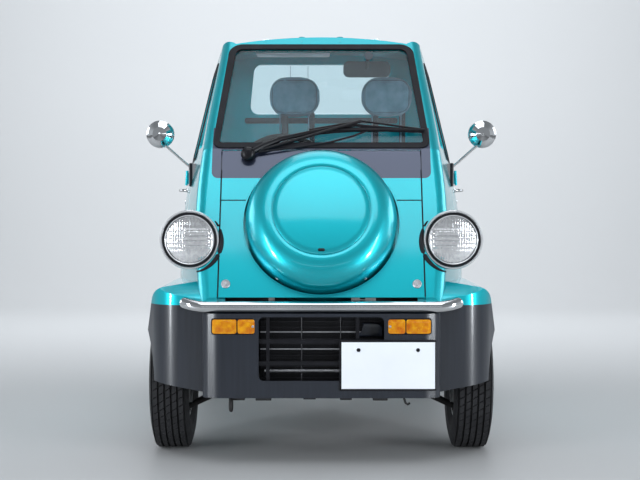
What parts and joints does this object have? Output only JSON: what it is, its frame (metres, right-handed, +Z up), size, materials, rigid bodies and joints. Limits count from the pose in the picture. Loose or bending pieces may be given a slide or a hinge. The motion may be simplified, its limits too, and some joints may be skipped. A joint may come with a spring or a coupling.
{
  "type": "kei pickup truck",
  "caption": "Small one-box-nosed kei pickup with hinged doors, tailgate, steered front wheels, rolling wheels and a spare wheel on the nose.",
  "frame": {"origin": "middle of the ground rectangle that the vehicle covers", "axes": "+Z up, front towards -Y, the vehicle's left side towards +X"},
  "size_m": [1.404, 2.79, 1.649],
  "materials": {
    "body_paint": "gloss",
    "cover_paint": "gloss",
    "grey_plastic": "satin",
    "black_plastic": "satin",
    "seal_rubber": "satin",
    "chrome": "polished",
    "window_glass": "clear",
    "lamp_glass": "clear",
    "amber_lens": "gloss",
    "red_lens": "gloss",
    "plate_white": "satin",
    "tyre_rubber": "matte",
    "wheel_steel": "satin",
    "radiator_metal": "satin",
    "grey_interior": "matte",
    "seat_fabric": "matte",
    "floor_mat": "matte",
    "underbody": "satin",
    "cast_metal": "matte",
    "exhaust_steel": "satin"
  },
  "bodies": {
    "vehicle": {"cab_shell": "body_paint", "roof_panel": "body_paint", "nose_panel": "body_paint", "cowl_panel": "body_paint", "spare_well": "body_paint", "front_fenders": "body_paint", "bed_tub": "body_paint", "bumper_face": "grey_plastic", "front_flares": "grey_plastic", "rear_flares": "grey_plastic", "headlamp_pods": "grey_plastic", "rear_beam": "grey_plastic", "grille_bars": "black_plastic", "windscreen_gasket": "seal_rubber", "wiper": "black_plastic", "bumper_bar": "chrome", "headlamp_rims": "chrome", "mirrors": "chrome", "windscreen": "window_glass", "rear_window": "window_glass", "quarter_windows": "window_glass", "headlamp_lenses": "lamp_glass", "indicator_lamps": "amber_lens", "tail_lamps": "red_lens", "number_plates": "plate_white", "spare_cover": "cover_paint", "spare_wheel": "tyre_rubber", "radiator": "radiator_metal", "inner_mirror": "black_plastic", "dashboard": "grey_interior", "seat_cushions": "seat_fabric", "seat_backs": "seat_fabric", "headrests": "seat_fabric", "floor_pan": "floor_mat", "wheel_housings": "underbody", "chassis_frame": "underbody", "front_suspension": "underbody", "engine_block": "cast_metal", "fuel_tank": "underbody", "exhaust": "exhaust_steel", "rear_axle": "underbody", "leaf_springs": "underbody"},
    "knuckle_left": {"knuckle_left": "cast_metal"},
    "door_left": {"door_left": "body_paint", "door_glass_left": "window_glass"},
    "wheel_front_left": {"tyre_front_left": "tyre_rubber", "wheel_front_left": "wheel_steel"},
    "wheel_rear_left": {"tyre_rear_left": "tyre_rubber", "wheel_rear_left": "wheel_steel"},
    "knuckle_right": {"knuckle_right": "cast_metal"},
    "door_right": {"door_right": "body_paint", "door_glass_right": "window_glass"},
    "wheel_front_right": {"tyre_front_right": "tyre_rubber", "wheel_front_right": "wheel_steel"},
    "wheel_rear_right": {"tyre_rear_right": "tyre_rubber", "wheel_rear_right": "wheel_steel"},
    "tailgate": {"tailgate": "body_paint"},
    "steering_wheel": {"steering_wheel": "black_plastic"}
  },
  "joints": [
    {"name": "steer_left", "type": "hinge", "parent": "vehicle", "child": "knuckle_left", "pos_m": [0.517, -0.935, 0.2685], "axis": [0, 0, 1], "range_deg": [-30, 30]},
    {"name": "spin_front_left", "type": "hinge", "parent": "knuckle_left", "child": "wheel_front_left", "pos_m": [0.565, -0.935, 0.2685], "axis": [1, 0, 0], "continuous": true},
    {"name": "spin_rear_left", "type": "hinge", "parent": "vehicle", "child": "wheel_rear_left", "pos_m": [0.555, 0.905, 0.2685], "axis": [1, 0, 0], "continuous": true},
    {"name": "door_left_hinge", "type": "hinge", "parent": "vehicle", "child": "door_left", "pos_m": [0.57, -0.62, 0.64], "axis": [0.0558, 0, -0.9984], "range_deg": [0, 65]},
    {"name": "steer_right", "type": "hinge", "parent": "vehicle", "child": "knuckle_right", "pos_m": [-0.517, -0.935, 0.2685], "axis": [0, 0, 1], "range_deg": [-30, 30]},
    {"name": "spin_front_right", "type": "hinge", "parent": "knuckle_right", "child": "wheel_front_right", "pos_m": [-0.565, -0.935, 0.2685], "axis": [1, 0, 0], "continuous": true},
    {"name": "spin_rear_right", "type": "hinge", "parent": "vehicle", "child": "wheel_rear_right", "pos_m": [-0.555, 0.905, 0.2685], "axis": [1, 0, 0], "continuous": true},
    {"name": "door_right_hinge", "type": "hinge", "parent": "vehicle", "child": "door_right", "pos_m": [-0.57, -0.62, 0.64], "axis": [0.0558, 0, 0.9984], "range_deg": [0, 65]},
    {"name": "tailgate_hinge", "type": "hinge", "parent": "vehicle", "child": "tailgate", "pos_m": [0, 1.38, 0.556], "axis": [-1, 0, 0], "range_deg": [0, 90]},
    {"name": "steering_wheel_turn", "type": "hinge", "parent": "vehicle", "child": "steering_wheel", "pos_m": [-0.152, -0.64, 1.062], "axis": [0, 0.788, 0.6157], "range_deg": [-480, 480]}
  ],
  "couplings": [
    {"joint": "steer_right", "follows": "steer_left", "ratio": 1},
    {"joint": "steering_wheel_turn", "follows": "steer_left", "ratio": 16}
  ]
}
